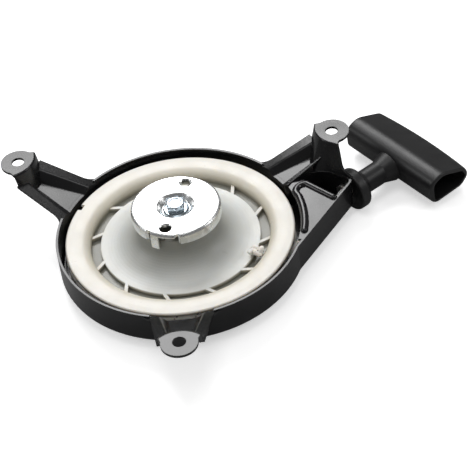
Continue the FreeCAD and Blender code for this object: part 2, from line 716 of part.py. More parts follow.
TAB_LOW = -11.0
for wa in WINDOW_ANGLES:
    # window for the pawl, a driving tab beside it, and a round notch at each end
    plate = plate.cut(sector(25.6, 31.0, wa - 6.4, wa + 19.0, PLATE_SKIRT - 1, -0.9))
    tabp = ring(PLATE_R, PLATE_R - PLATE_T, TAB_LOW, PLATE_SKIRT + 2.0).common(
        sector(25.6, 31.0, wa - 19.4, wa - 6.4, TAB_LOW, PLATE_SKIRT + 2.0))
    plate = plate.fuse(tabp)
    for na in (wa - 20.8, wa + 19.0):
        q = pol(PLATE_R + 0.3, na)
        plate = plate.cut(cyl(1.85, TAB_LOW - 2, 6, q.x, q.y))
    hole = pol(22.0, wa)
    collar = cyl(4.5, -1.2, PLATE_TOP - 0.9, hole.x, hole.y)
    plate = plate.fuse(collar).cut(cyl(3.6, -4, 6, hole.x, hole.y))
    plate = plate.cut(Part.makeCone(3.59, 4.35, 0.8, V(hole.x, hole.y, PLATE_TOP - 0.79), Z))
export("friction_plate", plate)

# ---------------------------------------------------------------- pulley
bell = []
bell_in = []
for i in range(0, 19):
    t = math.radians(5.0 * i)
    bell.append((50.0 - (50.0 - NECK_R) * math.cos(t), -8.6 - (-8.6 - DISC_TOP) * math.sin(t)))
for i in range(0, 16):
    t = math.radians(6.0 * i)
    bell_in.append((50.4 - (50.4 - (NECK_R - 2.6)) * math.cos(t), -8.9 - (-8.9 - (DISC_TOP - DISC_T)) * math.sin(t)))
prof = [(BORE_R, -35.6), (BORE_R, -9.2), (10.5, -9.2), (10.5, -4.0), (12.2, -4.0), (12.2, HUB_TOP),
        (NECK_R - 1.2, HUB_TOP), (NECK_R - 0.35, HUB_TOP - 0.35), (NECK_R, HUB_TOP - 1.2)]
prof += bell
prof += [(DISC_R - 0.4, DISC_TOP), (DISC_R, DISC_TOP - 0.5), (DISC_R, DISC_TOP - DISC_T)]
prof += list(reversed(bell_in))
prof += [(NECK_R - 3.4, -9.6), (HUB_R + 1.2, -9.6), (HUB_R, -11.0), (HUB_R, -35.6)]
body = revolve(prof)
wall = ring(SPRING_WALL_R[1], SPRING_WALL_R[0], -37.8, DISC_TOP - DISC_T + 0.6)
ring_in = []
for i in range(0, 10):
    t = math.radians(10.0 * i)
    ring_in.append((65.5 - (65.5 - RING_IN_R) * math.cos(t), -27.2 + (RING_TOP + 0.05 + 27.2) * math.sin(t)))
ring_prof = [(RING_IN_R, RING_LOW)] + ring_in + [
             (70.0, RING_TOP + 0.12), (RING_R - 0.9, RING_TOP - 0.1), (RING_R - 0.2, RING_TOP - 0.6),
             (RING_R, RING_TOP - 1.2), (RING_R - 0.1, RING_TOP - 2.0), (RING_R - 0.7, RING_TOP - RING_T),
             (GROOVE_R + 0.8, RING_TOP - RING_T - 0.3), (GROOVE_R, RING_TOP - RING_T - 1.1),
             (GROOVE_R, GROOVE_BOTTOM + 0.8), (GROOVE_R + 0.8, GROOVE_BOTTOM), (RING_R - 0.5, GROOVE_BOTTOM + 0.1),
             (RING_R, GROOVE_BOTTOM - 0.5), (RING_R, RING_LOW + 0.6), (RING_R - 0.6, RING_LOW)]
rim = revolve(ring_prof)
web = ring(RING_IN_R + 0.6, 47.3, WEB_TOP - 1.8, WEB_TOP)
fins = []
for i in range(FIN_COUNT):
    a = FIN_FIRST + 30.0 * i
    pa, pb = pol(50.0, a - 3.9), pol(RING_IN_R + 0.7, a + 3.2)
    w = (pb - pa).normalize()
    w = V(-w.y, w.x, 0) * (FIN_T / 2)
    fins.append(prism(wire([pa - w, pb - w, pb + w, pa + w]), WEB_TOP - 0.9, DISC_TOP - 0.05))
pegs = []
for k in range(2):
    p = pol(PAWL_PIVOT_R, PAWL_PIVOT_A + 180 * k)
    peg = cyl(PEG_R, HUB_TOP - 1, -1.2, p.x, p.y)
    peg = peg.makeChamfer(0.4, [e for e in peg.Edges if e.BoundBox.ZMin > -1.3])
    pegs.append(peg)
pulley = fuse([body, wall, rim, web] + fins + pegs)
# the rope's way into the groove
pulley = pulley.cut(Part.makeCylinder(2.15, 6, pol(57.0, KNOT_ANGLE, FEED_Z), pol(1, KNOT_ANGLE)))
# slot for the outer end of the recoil spring
pulley = pulley.cut(turned(Part.makeBox(6, 4.0, 9.0, V(44.5, -2, -39.0)), 205.0))
# notch in the outer edge, used to hold the rope when the starter is put together
notch = turned(Part.makeBox(6, 5.2, 6, V(RING_R - 3.0, -2.6, RING_TOP - RING_T - 1.0)), NOTCH_ANGLE)
pulley = pulley.cut(notch)
export("pulley", pulley)

# ---------------------------------------------------------------- pawls


def pawl(k):
    base = PAWL_PIVOT_A + 180 * k
    p = pol(PAWL_PIVOT_R, base)
    tip = pol(24.6, base + 51.0)
    ax = (tip - p).normalize()
    side = V(ax.y, -ax.x, 0)          # towards the skirt
    ln = (tip - p).Length
    pts = [p + side * 3.7 - ax * 0.5, p + side * 3.3 + ax * 5.0, p + side * 2.2 + ax * (ln - 5.0),
           p + side * 1.3 + ax * (ln + 0.8), p - side * 1.9 + ax * (ln + 1.0), p - side * 2.7 + ax * (ln - 3.5),
           p - side * 2.6 + ax * 8.0, p - side * 3.5 + ax * 3.0, p - side * 3.7 - ax * 0.5]
    w = round_wire(pts, [0, 3, 4, 0.5, 0.5, 2, 4, 2, 0])
    s = prism(w, PAWL_Z[0], PAWL_Z[1])
    s = tidy(s.fuse(cyl(3.75, PAWL_Z[0], PAWL_Z[1], p.x, p.y)))
    s = s.cut(cyl(PEG_R + 0.06, -10, 2, p.x, p.y))
    return s


for k, nm in enumerate(("pawl_a", "pawl_b")):
    export(nm, pawl(k))

# ---------------------------------------------------------------- small parts under the plate
export("thrust_washer", ring(10.2, 7.15, -9.17, -8.4))


def coil(r, wire_r, z0, z1, turns, phase=0.0):
    pitch = (z1 - z0) / turns
    helix = Part.makeLongHelix(pitch, z1 - z0, r, 0)
    w = Part.Wire(helix.Edges)
    w.translate(V(0, 0, z0))
    c0 = Part.Wire([Part.makeCircle(wire_r, V(r, 0, z0), V(0, 1, pitch / (2 * math.pi * r)))])
    s = w.makePipeShell([c0], True, True)
    s.rotate(V(0, 0, 0), Z, phase)
    return s


fs = coil(8.75, 0.55, -7.8, -3.95, 2.5)
export("friction_spring", fs)

rs = coil(12.95, 0.42, -6.0, -4.35, 1.5, 140.0)
export("return_spring", rs)

# ---------------------------------------------------------------- recoil spring (flat spiral)


ST = 0.45
SP0, SP_PITCH, STURN, SA = 17.6, 2.7, 10, 30.0


def spiral_edges(d):
    """Flat spiral offset by d: half turns with alternating centres."""
    e = pol(1, SA)
    out = []
    for k in range(2 * STURN):
        c = e * (SP_PITCH / 4 * (-1 if k % 2 == 0 else 1))
        r = SP0 + k * SP_PITCH / 2 + d
        a0 = SA + 180.0 * k
        out.append((c + pol(r, a0), c + pol(r, a0 + 90.0), c + pol(r, a0 + 180.0)))
    return out


so = spiral_edges(ST)
si = spiral_edges(-ST)
se = [arc3(*q) for q in so] + [Part.LineSegment(so[-1][2], si[-1][2]).toShape()]
se += [arc3(q[2], q[1], q[0]) for q in reversed(si)] + [Part.LineSegment(si[0][0], so[0][0]).toShape()]
strip_s = prism(Part.Wire(se), -38.1, -30.6)
# inner hook round the anchor tab, outer hook bent back on itself
hk = [V(14.8, 8.85, 0), V(14.4, 6.4, 0), V(13.3, 5.0, 0), V(12.95, 4.1, 0), V(12.75, 1.0, 0), V(11.9, 1.0, 0),
      V(12.05, 4.3, 0), V(12.6, 5.8, 0), V(13.5, 6.8, 0), V(14.25, 8.5, 0)]
hook = prism(wire(hk), -38.1, -32.4)
export("recoil_spring", fuse([strip_s, hook]))

# ---------------------------------------------------------------- rope
circles = []
for r in (62.4, 66.2):
    for z in (-27.0, -31.0):
        circles.append(Part.makeTorus(r, 1.84, V(0, 0, z), Z))
core = ring(66.6, 61.6, -31.4, -26.6)
feed = Part.makeCylinder(ROPE_R, 8.8, pol(54.0, KNOT_ANGLE, FEED_Z), pol(1, KNOT_ANGLE))
knot = [Part.makeSphere(3.3, pol(54.9, KNOT_ANGLE, -24.3)), Part.makeSphere(2.7, pol(51.8, KNOT_ANGLE - 4.6, -24.2)),
        Part.makeSphere(2.0, pol(56.2, KNOT_ANGLE + 4.4, -24.6))]
rope_wound = core.fuse(circles + [feed] + knot)
export("rope_wound", rope_wound)

# last turn and the straight run to the outlet
run_end = out_pt(OUT_END + 0.6, EYE_OFF, EYE_Z)
p_tan = pol(ROPE_OFF, OUT_DIR - 90.0, ROPE_Z)
path_pts = [pol(ROPE_OFF, OUT_DIR - 90.0 - 236.0 + 8.0 * i, ROPE_Z) for i in range(29)]
path_pts += [pol(ROPE_OFF, OUT_DIR - 90.0, ROPE_Z)]
path_pts += [p_tan + (run_end - p_tan) * f for f in (0.15, 0.4, 0.7, 1.0)]
run_curve = Part.BSplineCurve()
run_curve.interpolate(path_pts)
run_wire = Part.Wire([run_curve.toShape()])
sd = V(-path_pts[0].y, path_pts[0].x, 0).normalize()
export("rope_run", tube_along(run_wire, ROPE_R, path_pts[0], sd))

# ---------------------------------------------------------------- eyelet
e0 = out_pt(0, EYE_OFF, EYE_Z)


def eye_ring(r_out, r_in, s0, s1):
    a = Part.makeCylinder(r_out, s1 - s0, e0 + D * s0, D)
    b = Part.makeCylinder(r_in, s1 - s0 + 2, e0 + D * (s0 - 1), D)
    return a.cut(b)


eye = eye_ring(EYE_HOLE_R - 0.12, 2.7, END_IN - 0.5, OUT_END + 0.5)
# the inner roll is flattened where it meets the arm's side wall
flat = Part.makeBox(6, 6, 14, V(0, 0, 0))
flat.rotate(V(0, 0, 0), V(0, 0, 1), OUT_DIR - 90.0)
flat.translate(out_pt(END_IN - 3, EYE_OFF + 3.2, EYE_Z - 7))
roll = eye_ring(4.7, 2.7, END_IN - 0.95, END_IN - 0.03).cut(flat)
eye = eye.fuse([roll, eye_ring(5.3, 2.7, OUT_END + 0.03, OUT_END + 0.9)])
eye = tidy(eye)
export("rope_eyelet", eye)

# ---------------------------------------------------------------- handle
h0 = out_pt(HANDLE_START, HANDLE_OFF, HANDLE_Z)


def hp(a, g, z):
    """Point in handle coordinates: along the pull, sideways along the grip, up."""
    return h0 + H * a + G * g + V(0, 0, z)


# grip section (along, up), seen from the end: a rounded triangle, thick at the stem
SEC_OUT = [(-15.8, -9.4), (12.0, -8.4), (18.2, -2.2), (15.2, 4.8), (-6.5, 13.2), (-16.8, 8.7)]
SEC_RAD = [6.5, 8.5, 5.0, 6.5, 12.0, 7.5]


def grip_section(inset, g):
    """Section wire at position g along the grip."""
    cx = sum(p[0] for p in SEC_OUT) / len(SEC_OUT)
    cz = sum(p[1] for p in SEC_OUT) / len(SEC_OUT)
    q = min(1.0, abs(g) / GRIP_HALF)
    far = 2.2 * (1 - q * q)
    sec = []
    rad = []
    for (a, z), r in zip(SEC_OUT, SEC_RAD):
        sa, sz = a - cx, z - cz
        ln = math.hypot(sa, sz)
        k = (ln - inset) / ln
        aa, zz = cx + sa * k, cz + sz * k
        if aa > cx:
            aa += far
        sec.append(hp(GRIP_AT + aa, g, zz))
        rad.append(max(r - inset * 0.8, 1.2))
    return round_wire(sec, rad)


def grip_solid(inset, half, eased=False):
    n = 8
    reach = half - 1.3 if eased else half
    s = Part.makeLoft([grip_section(inset, -reach + 2 * reach * i / n) for i in range(n + 1)], True, False)
    if eased:
        for sgn in (-1, 1):
            cap = Part.makeLoft([grip_section(inset + d, sgn * (half - e)) for d, e in
                                 ((0.0, 1.3), (0.2, 0.75), (0.65, 0.25), (1.3, 0.0))], True, True)
            s = s.fuse(cap)
    return s


outer_grip = grip_solid(0.0, GRIP_HALF, True)
inner_grip = grip_solid(3.2, GRIP_HALF + 2.0)
stem = Part.makeCylinder(STEM_R, GRIP_AT - 8.0 - 7.5, hp(7.5, 0, 0), H)
cone = Part.makeCone(9.6, STEM_R, 5.0, hp(7.2, 0, 0), H)
flange = Part.makeCylinder(14.2, 8.0, hp(0, 0, 0), H)
flange = flange.makeFillet(2.2, [e for e in flange.Edges if abs((e.BoundBox.Center - hp(8.0, 0, 0)).Length) < 0.6])
flange = flange.makeFillet(1.2, [e for e in flange.Edges if abs((e.BoundBox.Center - hp(0, 0, 0)).Length) < 0.6])
root = Part.makeCone(STEM_R, 10.6, 8.5, hp(GRIP_AT - 24.5, 0, 0.0), H)
handle = tidy(outer_grip.fuse([stem, cone, flange, root]))
handle = handle.cut(inner_grip)
handle = handle.cut(Part.makeCylinder(2.3, GRIP_AT, hp(-1, 0, 0), H))
handle = handle.cut(Part.makeCone(3.9, 2.3, 3.2, hp(-0.01, 0, 0), H))
export("handle_grip", handle)

knot_at = GRIP_AT - 16.4 + 3.1 + 1.3
hw = Part.makeCylinder(5.1, 1.2, hp(knot_at - 0.75, 0, 0), H).cut(Part.makeCylinder(2.3, 4, hp(knot_at - 3, 0, 0), H))
export("handle_washer", hw)

hr = Part.makeCylinder(ROPE_R, knot_at + 2.0 - 0.4, hp(0.4, 0, 0), H)
hk1 = Part.makeSphere(4.0, hp(knot_at + 4.1, 0, 0))
export("rope_handle_end", hr.fuse(hk1))
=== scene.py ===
import math
import bpy
import numpy as np
from mathutils import Matrix, Vector


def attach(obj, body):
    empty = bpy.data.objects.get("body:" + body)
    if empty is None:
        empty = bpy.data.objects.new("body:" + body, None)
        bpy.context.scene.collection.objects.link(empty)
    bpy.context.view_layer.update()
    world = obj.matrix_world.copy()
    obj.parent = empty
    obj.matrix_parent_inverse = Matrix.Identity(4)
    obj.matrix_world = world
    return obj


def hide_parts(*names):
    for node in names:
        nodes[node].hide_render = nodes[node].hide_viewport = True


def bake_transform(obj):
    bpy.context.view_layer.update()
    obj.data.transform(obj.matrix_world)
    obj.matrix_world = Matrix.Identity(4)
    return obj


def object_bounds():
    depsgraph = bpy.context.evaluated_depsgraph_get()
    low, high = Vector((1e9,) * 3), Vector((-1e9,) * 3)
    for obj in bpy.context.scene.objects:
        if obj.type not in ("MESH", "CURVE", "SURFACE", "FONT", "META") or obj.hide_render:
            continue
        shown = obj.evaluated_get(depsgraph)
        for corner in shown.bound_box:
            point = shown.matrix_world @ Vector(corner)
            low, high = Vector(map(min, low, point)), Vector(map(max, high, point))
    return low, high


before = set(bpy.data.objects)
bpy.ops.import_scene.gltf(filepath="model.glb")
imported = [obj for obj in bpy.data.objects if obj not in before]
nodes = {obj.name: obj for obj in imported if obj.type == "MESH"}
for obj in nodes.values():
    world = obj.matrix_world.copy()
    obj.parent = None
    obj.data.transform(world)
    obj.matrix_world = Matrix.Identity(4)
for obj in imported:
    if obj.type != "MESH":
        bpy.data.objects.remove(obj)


def plain(b):
    return [[float(v) for v in c] for c in b]


cad_box = plain(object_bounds())
scene = bpy.context.scene
MM = 0.001

# ------------------------------------------------------------------ directions shared with the CAD
OUT_DIR, PULL_DIR = math.radians(56.0), math.radians(37.2)
D = Vector((math.cos(OUT_DIR), math.sin(OUT_DIR), 0))
N = Vector((D.y, -D.x, 0))
H = Vector((math.cos(PULL_DIR), math.sin(PULL_DIR), 0))
G = Vector((H.y, -H.x, 0))
UP = Vector((0, 0, 1))


def pol(r, a, z=0.0):
    a = math.radians(a)
    return Vector((r * math.cos(a), r * math.sin(a), z))


def out_pt(s, off, z):
    return D * s + N * off + UP * z


H0 = out_pt(93.6, 73.0, -34.0)


def hp(a, g, z):
    return H0 + H * a + G * g + UP * z


# ------------------------------------------------------------------ material helpers
class Mat:
    def __init__(self, name):
        self.m = bpy.data.materials.new(name)
        self.m.use_nodes = True
        self.t = self.m.node_tree
        self.t.nodes.clear()
        self.out = self.n("ShaderNodeOutputMaterial")
        self.b = self.n("ShaderNodeBsdfPrincipled")
        self.link(self.b.outputs[0], self.out.inputs[0])

    def n(self, kind, **props):
        x = self.t.nodes.new(kind)
        for k, v in props.items():
            setattr(x, k, v)
        return x

    def link(self, a, b):
        self.t.links.new(a, b)

    def set(self, **vals):
        for k, v in vals.items():
            self.b.inputs[k.replace("_", " ")].default_value = v

    def coords(self):
        return self.n("ShaderNodeTexCoord").outputs["Object"]

    def noise(self, scale, detail=3.0, rough=0.55, vec=None, distort=0.0):
        x = self.n("ShaderNodeTexNoise")
        x.inputs["Scale"].default_value = scale
        x.inputs["Detail"].default_value = detail
        x.inputs["Roughness"].default_value = rough
        x.inputs["Distortion"].default_value = distort
        self.link(vec if vec is not None else self.coords(), x.inputs["Vector"])
        return x.outputs["Fac"]

    def ramp(self, fac, stops):
        x = self.n("ShaderNodeValToRGB")
        e = x.color_ramp.elements
        while len(e) < len(stops):
            e.new(0.5)
        for i, (p, c) in enumerate(stops):
            e[i].position = p
            e[i].color = c if len(c) == 4 else (c[0], c[1], c[2], 1)
        self.link(fac, x.inputs[0])
        return x.outputs[0]

    def val(self, fac, lo, hi, a=0.0, b=1.0):
        x = self.n("ShaderNodeMapRange")
        x.inputs[1].default_value = a
        x.inputs[2].default_value = b
        x.inputs[3].default_value = lo
        x.inputs[4].default_value = hi
        self.link(fac, x.inputs[0])
        return x.outputs[0]

    def math(self, op, a, b=None):
        x = self.n("ShaderNodeMath", operation=op)
        for i, v in enumerate((a, b)):
            if v is None:
                continue
            if isinstance(v, (int, float)):
                x.inputs[i].default_value = v
            else:
                self.link(v, x.inputs[i])
        return x.outputs[0]

    def mix(self, fac, a, b, mode="MIX"):
        x = self.n("ShaderNodeMix", data_type="RGBA", blend_type=mode)
        if isinstance(fac, (int, float)):
            x.inputs[0].default_value = fac
        else:
            self.link(fac, x.inputs[0])
        for i, v in ((6, a), (7, b)):
            if isinstance(v, (tuple, list)):
                x.inputs[i].default_value = v if len(v) == 4 else (v[0], v[1], v[2], 1)
            else:
                self.link(v, x.inputs[i])
        return x.outputs[2]

    def color(self, c):
        self.link(c, self.b.inputs["Base Color"])

    def rough(self, c):
        self.link(c, self.b.inputs["Roughness"])

    def bump(self, height, strength, dist=0.0004, bevel=0.0):
        x = self.n("ShaderNodeBump")
        x.inputs["Strength"].default_value = strength
        x.inputs["Distance"].default_value = dist
        self.link(height, x.inputs["Height"])
        if bevel > 0:
            bv = self.n("ShaderNodeBevel", samples=4)
            bv.inputs["Radius"].default_value = bevel
            self.link(bv.outputs[0], x.inputs["Normal"])
        self.link(x.outputs[0], self.b.inputs["Normal"])
        return x

    def ao(self, dist, inside=False):
        x = self.n("ShaderNodeAmbientOcclusion", samples=4)
        x.inputs["Distance"].default_value = dist
        return x.outputs["AO"]


# gloss black enamel on pressed steel: orange peel, faint dust and handling haze
def black_paint():
    m = Mat("black_enamel")
    tone = m.noise(55.0, 4.0, 0.6)
    haze = m.noise(11.0, 3.0, 0.6, distort=0.6)
    col = m.ramp(tone, [(0.3, (0.0045, 0.0045, 0.005)), (0.75, (0.009, 0.009, 0.0095))])
    dust = m.ramp(m.noise(1700.0, 2.0, 0.7), [(0.71, (0, 0, 0)), (0.78, (1, 1, 1))])
    col = m.mix(m.math("MULTIPLY", dust, 0.12), col, (0.16, 0.15, 0.14))
    m.color(col)
    m.rough(m.math("ADD", m.val(haze, 0.14, 0.30, 0.35, 0.7), m.math("MULTIPLY", dust, 0.2)))
    m.set(IOR=1.5, Coat_Weight=0.15, Coat_Roughness=0.06, Specular_IOR_Level=0.42)
    peel = m.noise(620.0, 2.0, 0.5)
    wave = m.noise(60.0, 2.0, 0.5)
    m.bump(m.math("ADD", m.math("MULTIPLY", peel, 0.35), wave), 0.10, 0.0006, bevel=0.0005)
    return m.m


# natural moulded nylon: cream ring, cooler and more see-through disc and hub, with soft mottling; painted shade darkens
# the hub and bell under the friction plate
def nylon():
    m = Mat("natural_nylon")
    co = m.coords()
    sx = m.n("ShaderNodeSeparateXYZ")
    m.link(co, sx.inputs[0])
    flat = m.n("ShaderNodeCombineXYZ")
    m.link(sx.outputs[0], flat.inputs[0])
    m.link(sx.outputs[1], flat.inputs[1])
    ln = m.n("ShaderNodeVectorMath", operation="LENGTH")
    m.link(flat.outputs[0], ln.inputs[0])
    r = ln.outputs["Value"]
    mott = m.noise(38.0, 4.0, 0.6, distort=0.8)
    fine = m.noise(420.0, 3.0, 0.6)
    rr = m.math("ADD", r, m.val(mott, -0.0006, 0.0006))
    # painted shade: the radius ramp darkens the hub and the bell of the disc out to about 42 mm, where the friction
    # plate shades them; the ring grows darker and browner towards its inner edge
    base = m.ramp(m.val(rr, 0.0, 1.0, 0.020, 0.076), [
        (0.0, (0.24, 0.245, 0.22)), (0.14, (0.33, 0.335, 0.31)), (0.30, (0.50, 0.51, 0.49)), (0.40, (0.64, 0.65, 0.63)),
        (0.575, (0.655, 0.66, 0.635)), (0.64, (0.66, 0.645, 0.60)), (0.70, (0.64, 0.60, 0.50)), (0.77, (0.70, 0.665, 0.59)),
        (0.84, (0.75, 0.725, 0.67)), (1.0, (0.765, 0.74, 0.695))])
    # painted shade: the thin web between disc and ring, down below the disc, is darkened to a grey
    web_painted_shade = m.math("MULTIPLY", m.val(sx.outputs[2], 1.0, 0.0, -0.0296, -0.0270),
                 m.math("MULTIPLY", m.val(r, 0.0, 1.0, 0.0500, 0.0525), m.val(r, 1.0, 0.0, 0.0580, 0.0610)))
    base = m.mix(m.math("MULTIPLY", web_painted_shade, 0.85), base, (0.27, 0.275, 0.25))
    base = m.mix(m.val(mott, 0.0, 0.22, 0.35, 0.75), base, (0.74, 0.70, 0.60), "MULTIPLY")
    base = m.mix(m.val(fine, 0.0, 0.05, 0.45, 0.7), base, (0.55, 0.5, 0.42))
    # painted shade: ambient occlusion darkens and browns the nylon in recesses and between parts
    ao = m.ao(0.010)
    grime_and_recess_shade = m.val(ao, 0.55, 0.0, 0.25, 0.85)
    base = m.mix(grime_and_recess_shade, base, (0.45, 0.40, 0.28), "MULTIPLY")
    m.color(base)
    m.rough(m.val(m.noise(90.0, 3.0, 0.6), 0.27, 0.42, 0.3, 0.7))
    m.set(Subsurface_Weight=0.35, Subsurface_Scale=0.004, IOR=1.52, Specular_IOR_Level=0.4)
    m.b.inputs["Subsurface Radius"].default_value = (1.0, 0.8, 0.55)
    # faint rings left by the mould's turning marks, and pitting
    w = m.n("ShaderNodeTexWave", wave_type="RINGS", rings_direction="Z")
    w.inputs["Scale"].default_value = 420.0
    w.inputs["Distortion"].default_value = 0.6
    m.link(co, w.inputs["Vector"])
    h = m.math("ADD", m.math("MULTIPLY", w.outputs["Fac"], 0.12), m.math("ADD", fine, m.math("MULTIPLY", mott, 1.5)))
    m.bump(h, 0.10, 0.0005, bevel=0.0005)
    return m.m


def zinc(name, base, rough, grain=0.08, blue=0.0, streak=True, dark=0.8):
    m = Mat(name)
    n1 = m.noise(70.0, 4.0, 0.65, distort=1.0)
    n2 = m.noise(900.0, 2.0, 0.6)
    c2 = tuple(v * dark for v in base[:2]) + (min(base[2] * dark + blue, 1.0),)
    m.color(m.ramp(n1, [(0.3, c2), (0.62, base)]))
    m.rough(m.math("ADD", m.val(n1, rough, rough * 1.8, 0.3, 0.75), m.val(n2, 0.0, 0.05)))
    m.set(Metallic=1.0)
    vec = m.coords()
    if streak:
        mp = m.n("ShaderNodeMapping")
        mp.inputs["Scale"].default_value = (1.0, 14.0, 1.0)
        mp.inputs["Rotation"].default_value = (0, 0, 0.5)
        m.link(vec, mp.inputs[0])
        vec = mp.outputs[0]
    m.bump(m.math("ADD", m.noise(160.0, 3.0, 0.6, vec=vec), m.math("MULTIPLY", n2, 0.4)), grain, 0.00025, bevel=0.00045)
    return m.m


def steel(name, base, rough, grain=0.15):
    m = Mat(name)
    n1 = m.noise(120.0, 4.0, 0.65)
    m.color(m.ramp(n1, [(0.3, tuple(v * 0.7 for v in base)), (0.7, base)]))
    m.rough(m.val(n1, rough, rough * 1.5, 0.3, 0.7))
    m.set(Metallic=1.0)
    m.bump(m.noise(1400.0, 3.0, 0.6), grain, 0.0002, bevel=0.0003)
    return m.m


# black moulded plastic: satin skin with a fine grain and a trace of bloom
def handle_plastic():
    m = Mat("black_moulded_plastic")
    n1 = m.noise(28.0, 4.0, 0.6, distort=0.5)
    grain = m.noise(1500.0, 2.0, 0.55)
    m.color(m.ramp(n1, [(0.3, (0.0065, 0.0065, 0.007)), (0.75, (0.012, 0.012, 0.0125))]))
    m.rough(m.val(n1, 0.36, 0.47, 0.3, 0.7))
    m.set(IOR=1.5, Specular_IOR_Level=0.5)
    # shallow finger waves towards the far edge of the grip
    co = m.coords()
    dot = m.n("ShaderNodeVectorMath", operation="DOT_PRODUCT")
    m.link(co, dot.inputs[0])
    dot.inputs[1].default_value = G
    wave = m.math("SINE", m.math("MULTIPLY", dot.outputs["Value"], 2 * math.pi / 0.0115))
    far = m.n("ShaderNodeVectorMath", operation="DOT_PRODUCT")
    m.link(co, far.inputs[0])
    far.inputs[1].default_value = H
    a_far = (H0 * MM).dot(H) + 0.051
    mask = m.val(far.outputs["Value"], 0.0, 1.0, a_far + 0.006, a_far + 0.017)
    h = m.math("ADD", m.math("MULTIPLY", grain, 0.10), m.math("MULTIPLY", m.math("MULTIPLY", wave, mask), 0.5))
    m.bump(h, 0.55, 0.0005, bevel=0.0007)
    return m.m


# braided rope: the mesh carries the braid, these two attributes carry its threads
def rope_mat():
    m = Mat("braided_rope")
    a = m.n("ShaderNodeAttribute", attribute_name="braid")
    tr = m.n("ShaderNodeAttribute", attribute_name="tracer")
    grime_and_recess_shade = m.noise(140.0, 3.0, 0.6)
    fib = m.noise(3000.0, 2.0, 0.6)
    # painted shade: the ramp darkens and browns the low parts between the strands
    col = m.ramp(a.outputs["Fac"], [(0.0, (0.40, 0.35, 0.26)), (0.35, (0.80, 0.76, 0.67)), (0.8, (0.93, 0.92, 0.88))])
    col = m.mix(m.val(grime_and_recess_shade, 0.0, 0.2, 0.4, 0.75), col, (0.62, 0.52, 0.36), "MULTIPLY")
    col = m.mix(m.math("MULTIPLY", tr.outputs["Fac"], 0.85), col, (0.045, 0.035, 0.03))
    col = m.mix(m.val(fib, 0.0, 0.14, 0.4, 0.7), col, (0.95, 0.93, 0.88))
    m.color(col)
    m.set(Roughness=0.72, Sheen_Weight=0.35, Sheen_Roughness=0.5, Subsurface_Weight=0.12, Subsurface_Scale=0.001)
    m.bump(m.math("ADD", fib, a.outputs["Fac"]), 0.35, 0.0002)
    return m.m


# the same rope where it is drawn out: the braid comes from position, so that stretching doesn't smear it
def rope_drawn():
    m = Mat("drawn_rope")
    co = m.coords()
    rel = m.n("ShaderNodeVectorMath", operation="SUBTRACT")
    m.link(co, rel.inputs[0])
    rel.inputs[1].default_value = hp(0, 0, 0) * MM

    def dot(v):
        x = m.n("ShaderNodeVectorMath", operation="DOT_PRODUCT")
        m.link(rel.outputs[0], x.inputs[0])
        x.inputs[1].default_value = v
        return x.outputs["Value"]

    s = m.math("MULTIPLY", dot(H), 2 * math.pi / 0.0068)
    th = m.math("ARCTAN2", dot(UP), dot(G))
    wa = m.math("ABSOLUTE", m.math("SINE", m.math("MULTIPLY", m.math("ADD", th, s), 4.0)))
    wb = m.math("ABSOLUTE", m.math("SINE", m.math("MULTIPLY", m.math("SUBTRACT", th, s), 4.0)))
    h = m.math("MULTIPLY", wa, wb)
    fib = m.noise(3000.0, 2.0, 0.6)
    # painted shade: the ramp darkens and browns the low parts between the strands
    col = m.ramp(h, [(0.0, (0.40, 0.35, 0.26)), (0.3, (0.80, 0.76, 0.67)), (0.8, (0.93, 0.92, 0.88))])
    col = m.mix(m.val(m.noise(140.0, 3.0), 0.0, 0.35, 0.4, 0.75), col, (0.62, 0.52, 0.36), "MULTIPLY")
    m.color(col)
    m.set(Roughness=0.72, Sheen_Weight=0.35, Sheen_Roughness=0.5)
    m.bump(m.math("ADD", h, m.math("MULTIPLY", fib, 0.4)), 0.8, 0.0004)
    return m.m


M_BLACK, M_NYLON, M_HANDLE, M_ROPE, M_DRAWN = black_paint(), nylon(), handle_plastic(), rope_mat(), rope_drawn()
M_PLATE = zinc("bright_zinc_plate", (0.90, 0.91, 0.905), 0.17, 0.06, dark=0.93)
M_SCREW = zinc("blue_white_zinc", (0.60, 0.68, 0.72), 0.09, 0.05, blue=0.05, streak=False, dark=0.62)
M_EYE = zinc("zinc_eyelet", (0.62, 0.62, 0.60), 0.25, 0.1, streak=False)
M_POST = steel("turned_steel", (0.50, 0.50, 0.51), 0.25)
M_PAWL = steel("sintered_steel", (0.23, 0.225, 0.215), 0.38, 0.5)
M_SPRING = steel("spring_wire", (0.45, 0.45, 0.46), 0.28)
M_STRIP = steel("oiled_spring_strip", (0.17, 0.19, 0.23), 0.22)

for name, mat in (("housing", M_BLACK), ("pivot_post", M_POST), ("center_screw", M_SCREW), ("friction_plate", M_PLATE),
                  ("pulley", M_NYLON), ("pawl_a", M_PAWL), ("pawl_b", M_PAWL), ("thrust_washer", M_POST),
                  ("friction_spring", M_SPRING), ("return_spring", M_SPRING), ("recoil_spring", M_STRIP),
                  ("rope_wound", M_ROPE), ("rope_run", M_ROPE), ("rope_eyelet", M_EYE), ("handle_grip", M_HANDLE),
                  ("handle_washer", M_EYE), ("rope_handle_end", M_ROPE)):
    o = nodes[name]
    if not o.material_slots:
        o.data.materials.append(mat)
    for s in o.material_slots:
        s.material = mat


# ------------------------------------------------------------------ braided rope geometry
def resample(pts, step, closed):
    p = np.array([tuple(v) for v in pts], float)
    if closed:
        p = np.vstack([p, p[:1]])
    seg = np.linalg.norm(np.diff(p, axis=0), axis=1)
    s = np.concatenate([[0], np.cumsum(seg)])
    n = max(8, int(round(s[-1] / step)))
    q = np.linspace(0, s[-1], n + 1)
    if closed:
        q = q[:-1]
    return np.stack([np.interp(q, s, p[:, k]) for k in range(3)], 1), q, s[-1]


